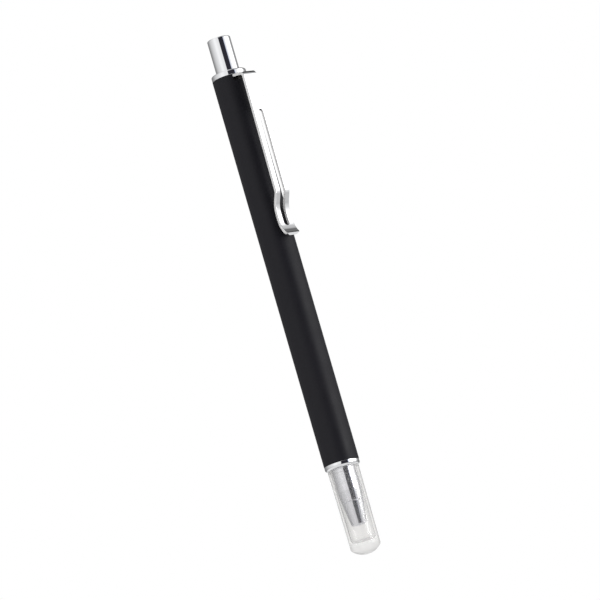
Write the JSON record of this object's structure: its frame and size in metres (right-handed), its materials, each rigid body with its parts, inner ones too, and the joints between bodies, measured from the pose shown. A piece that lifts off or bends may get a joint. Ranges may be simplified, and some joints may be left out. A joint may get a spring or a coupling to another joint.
{
  "type": "technical pen",
  "caption": "Slim push-button technical pen with matt black barrel, chrome slotted pocket clip, chrome nose and clear push-on cap.",
  "frame": {"origin": "centre of the nose's front end, on the pen's axis, where the writing tip comes out", "axes": "+Z along the pen's axis, from the nose to the push button; -Y is the side that the pocket clip is on; +X completes the frame"},
  "size_m": [0.01, 0.0139, 0.1499],
  "materials": {
    "soft_touch_black": "matt soft-touch coating",
    "chrome": "polished chrome plate",
    "chrome_clip": "polished chrome plate on spring steel",
    "brass": "turned",
    "white_plastic": "moulded acetal",
    "refill_plastic": "clear extruded tube",
    "tail_plastic": "moulded",
    "ink": "black ink",
    "grease": "clear grease",
    "holder_plastic": "moulded",
    "tip_steel": "drawn stainless",
    "spring_steel": "drawn wire",
    "cap_plastic": "milky clear moulded"
  },
  "bodies": {
    "barrel": {"barrel_tube": "soft_touch_black", "front_bush": "brass", "top_bush": "brass", "front_ring": "chrome", "top_collar": "chrome", "nose_sleeve": "chrome", "nose_tip": "chrome", "cam_sleeve": "white_plastic", "return_spring": "spring_steel"},
    "push_button": {"button_shell": "chrome", "plunger": "white_plastic"},
    "refill": {"rotor_cam": "white_plastic", "refill_tube": "refill_plastic", "refill_tail_plug": "tail_plastic", "ink_column": "ink", "ink_follower": "grease", "nib_holder": "holder_plastic", "writing_tip": "tip_steel", "tip_ball": "tip_steel"},
    "clip": {"pocket_clip": "chrome_clip"},
    "cap": {"protective_cap": "cap_plastic"}
  },
  "joints": [
    {"name": "button_press", "type": "slide", "parent": "barrel", "child": "push_button", "axis": [0, 0, -1], "range_m": [0, 0.0056], "stiffness_N_per_m": 350, "springref_m": -0.003},
    {"name": "refill_advance", "type": "slide", "parent": "barrel", "child": "refill", "axis": [0, 0, -1], "range_m": [0, 0.0056], "deforming": ["return_spring"]},
    {"name": "clip_flex", "type": "hinge", "parent": "barrel", "child": "clip", "pos_m": [0, -0.0045, 0.1294], "axis": [-1, 0, 0], "range_deg": [0, 4], "stiffness_Nm_per_rad": 1.5, "springref_deg": -0.57},
    {"name": "cap_pull", "type": "slide", "parent": "barrel", "child": "cap", "axis": [0, 0, -1], "range_m": [0, 0.02]}
  ],
  "couplings": [
    {"joint": "refill_advance", "follows": "button_press", "ratio": 1}
  ]
}
